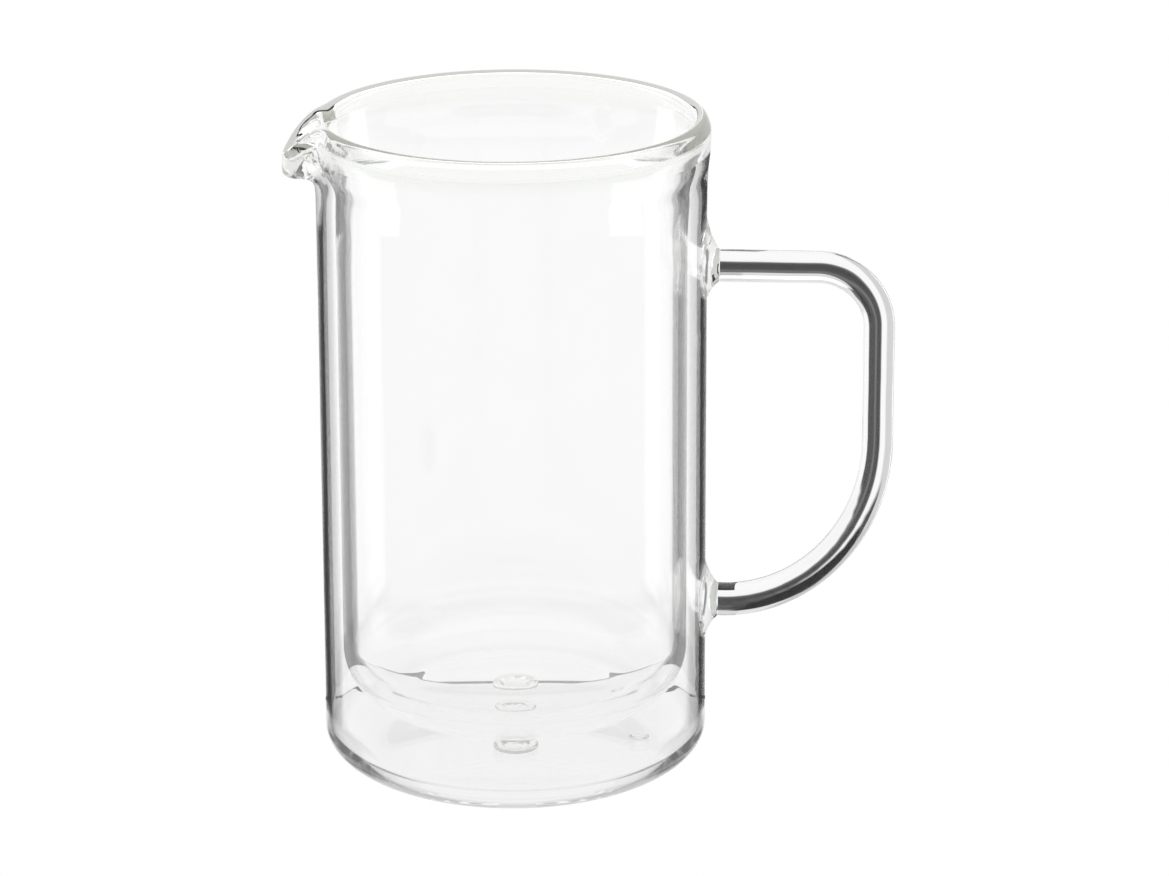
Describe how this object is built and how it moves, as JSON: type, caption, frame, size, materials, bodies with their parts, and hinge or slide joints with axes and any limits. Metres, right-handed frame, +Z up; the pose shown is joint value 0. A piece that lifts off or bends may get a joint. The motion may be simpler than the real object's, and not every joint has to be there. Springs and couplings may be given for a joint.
{
  "type": "double walled glass pouring jug",
  "caption": "Clear double-walled cylindrical glass jug with an open fused rim, a drawn pouring lip and a bent solid-rod handle.",
  "frame": {"origin": "centre of the flat underside, on the axis of the vessel", "axes": "+Z up along the vessel's axis; the handle points along +X and the pouring lip along -X, each within four degrees, both leaning to -Y"},
  "size_m": [0.156, 0.1016, 0.1744],
  "materials": {
    "body_glass": "clear blown borosilicate, fire polished",
    "rim_glass": "clear, with a faint grey-green cast through the thick edge, fire polished",
    "rod_glass": "clear drawn rod with faint lengthwise draw lines",
    "weld_glass": "clear, slightly rippled where it was flame worked"
  },
  "bodies": {
    "root": {"inner_vessel": "body_glass", "outer_jacket": "body_glass", "base_cup": "body_glass", "rim_bead": "rim_glass", "pouring_lip": "rim_glass", "handle_rod": "rod_glass", "handle_weld_upper": "weld_glass", "handle_weld_lower": "weld_glass", "inner_floor_gather": "body_glass", "base_floor_gather": "body_glass", "vent_seal": "body_glass"}
  },
  "joints": []
}
